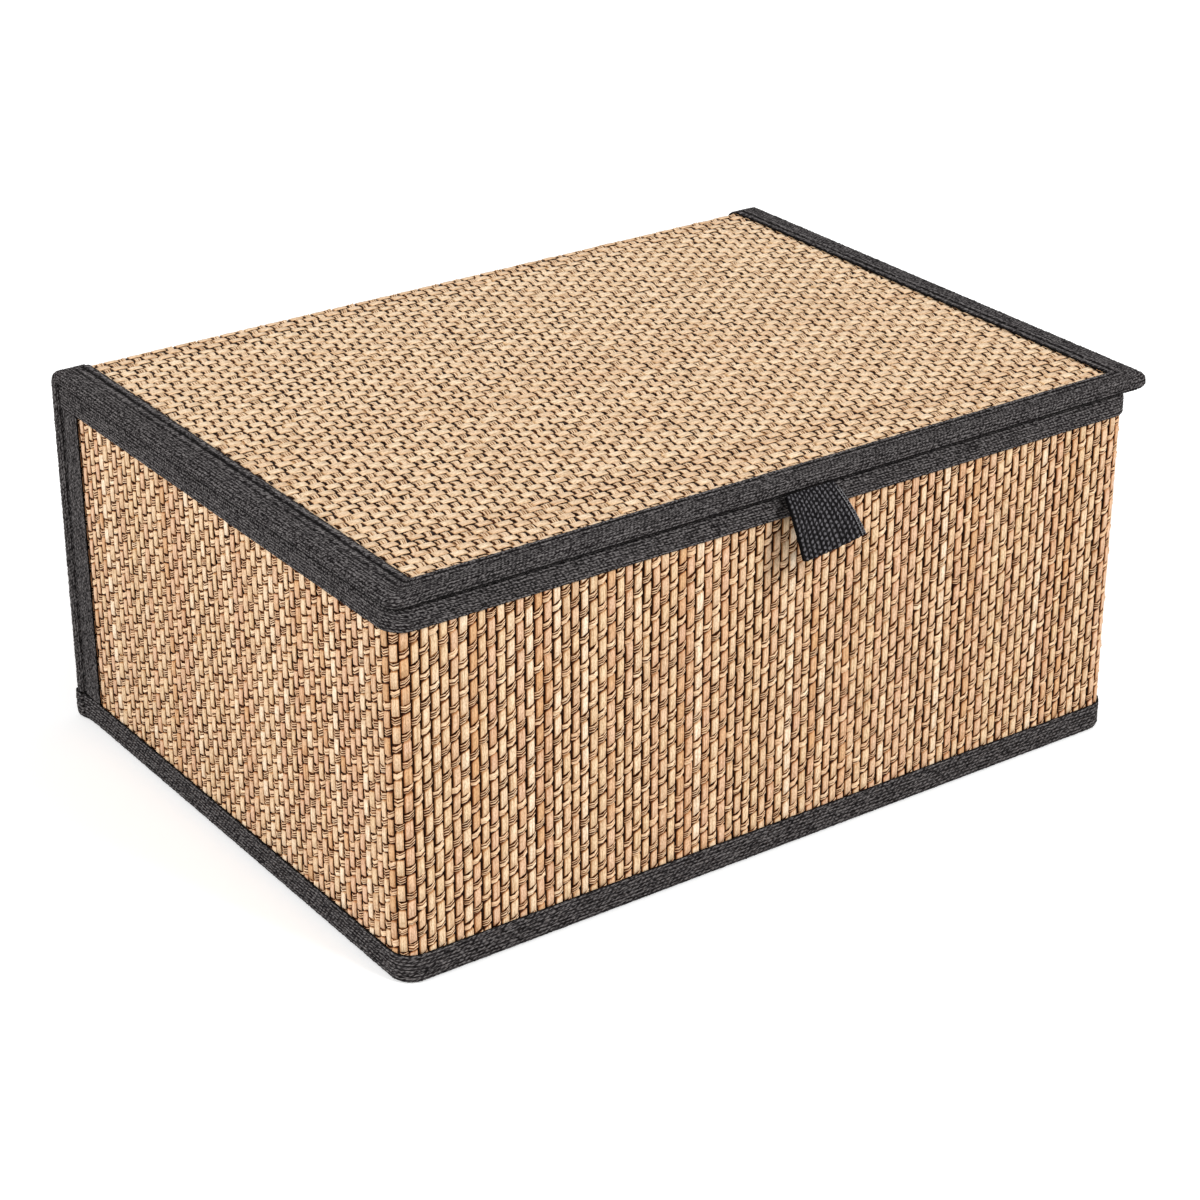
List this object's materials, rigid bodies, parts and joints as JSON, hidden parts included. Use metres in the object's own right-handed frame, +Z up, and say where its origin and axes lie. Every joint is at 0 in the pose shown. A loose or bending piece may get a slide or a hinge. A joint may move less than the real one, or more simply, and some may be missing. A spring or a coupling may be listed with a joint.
{
  "type": "bamboo box",
  "caption": "Lidded storage box of woven bamboo mat on thin boards, bound with folded black cotton tape, with a mat-hinged lid and a tape pull tab.",
  "frame": {"origin": "centre of the body's underside, where the box rests, midway between the side walls' outer faces and between the front and back faces", "axes": "+X to the box's right, -Y its front with the pull tab, +Y its back with the hinge, +Z up"},
  "size_m": [0.349, 0.2709, 0.154],
  "materials": {
    "bamboo": "woven split bamboo, satin",
    "tape": "woven cotton herringbone tape, matt",
    "board": "plain board, matt",
    "lining": "plain woven cloth, matt"
  },
  "bodies": {
    "box": {"underside_cloth": "lining", "bottom_board": "board", "floor_lining": "lining", "front_board": "board", "left_board": "board", "right_board": "board", "wall_mat": "bamboo", "wall_lining": "lining", "rim_tape": "tape", "base_tape": "tape", "left_rear_tape": "tape", "right_rear_tape": "tape", "back_board": "board", "back_mat": "bamboo", "back_lining": "lining", "back_left_tape": "tape", "back_right_tape": "tape"},
    "hinge": {"hinge_mat": "bamboo", "hinge_lining": "lining", "hinge_left_tape": "tape", "hinge_right_tape": "tape"},
    "lid": {"lid_mat": "bamboo", "lid_board": "board", "lid_lining": "lining", "lid_tape": "tape"},
    "tab": {"pull_tab": "tape"}
  },
  "joints": [
    {"name": "back_bend", "type": "hinge", "parent": "box", "child": "hinge", "pos_m": [0, 0.12581, 0.14976], "axis": [-1, 0, 0], "range_deg": [0, 107], "deforming": ["hinge_mat", "hinge_lining", "hinge_left_tape", "hinge_right_tape"]},
    {"name": "lid_bend", "type": "hinge", "parent": "hinge", "child": "lid", "pos_m": [0, 0.12276, 0.15281], "axis": [-1, 0, 0], "range_deg": [0, 107]},
    {"name": "tab_flex", "type": "hinge", "parent": "lid", "child": "tab", "pos_m": [0.0035, -0.12872, 0.1489], "axis": [-1, 0, 0], "range_deg": [-25, 75], "stiffness_Nm_per_rad": 0.005}
  ],
  "couplings": [
    {"joint": "lid_bend", "follows": "back_bend", "ratio": 1}
  ]
}
